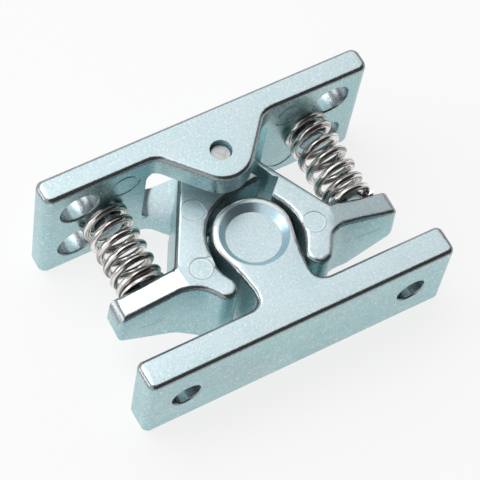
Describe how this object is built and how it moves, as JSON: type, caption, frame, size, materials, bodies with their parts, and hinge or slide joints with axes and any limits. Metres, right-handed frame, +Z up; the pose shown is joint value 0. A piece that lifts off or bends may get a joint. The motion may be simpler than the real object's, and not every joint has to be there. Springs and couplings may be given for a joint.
{
  "type": "double-jaw spring catch",
  "caption": "Spring catch whose jaws turn on a pin between the flanges of a mounting plate and close round the head of a separate striker bar.",
  "frame": {"origin": "centre of the body's mounting holes on its mounting face", "axes": "+X along the body plate, -Y from the mounting face toward the striker, +Z up along the pin; the part is drawn latched and lies on its -Z side"},
  "size_m": [0.0636, 0.0399, 0.0254],
  "materials": {
    "body": "satin, blue-passivated zinc casting",
    "pivot_pin": "bright drawn steel",
    "left_jaw": "satin, blue-passivated zinc casting",
    "right_jaw": "satin, blue-passivated zinc casting",
    "left_spring": "bright drawn steel",
    "right_spring": "bright drawn steel",
    "striker": "satin, blue-passivated zinc casting"
  },
  "bodies": {
    "catch_body": {"body": "body", "pivot_pin": "pivot_pin", "left_spring": "left_spring", "right_spring": "right_spring"},
    "left_jaw": {"left_jaw": "left_jaw"},
    "right_jaw": {"right_jaw": "right_jaw"},
    "striker": {"striker": "striker"}
  },
  "joints": [
    {"name": "striker_pull", "type": "slide", "parent": "catch_body", "child": "striker", "axis": [0, -1, 0], "range_m": [0, 0.02]},
    {"name": "left_jaw_turn", "type": "hinge", "parent": "catch_body", "child": "left_jaw", "pos_m": [0, -0.00825, 0], "axis": [0, 0, -1], "range_deg": [0, 14.5], "stiffness_Nm_per_rad": 4.4, "springref_deg": -8.42, "deforming": ["left_spring"]},
    {"name": "right_jaw_turn", "type": "hinge", "parent": "catch_body", "child": "right_jaw", "pos_m": [0, -0.00825, 0], "axis": [0, 0, 1], "range_deg": [0, 14.5], "stiffness_Nm_per_rad": 4.4, "springref_deg": -8.42, "deforming": ["right_spring"]}
  ],
  "couplings": [
    {"joint": "left_jaw_turn", "follows": "striker_pull", "rad_per_m": 12.2},
    {"joint": "right_jaw_turn", "follows": "striker_pull", "rad_per_m": 12.2}
  ]
}
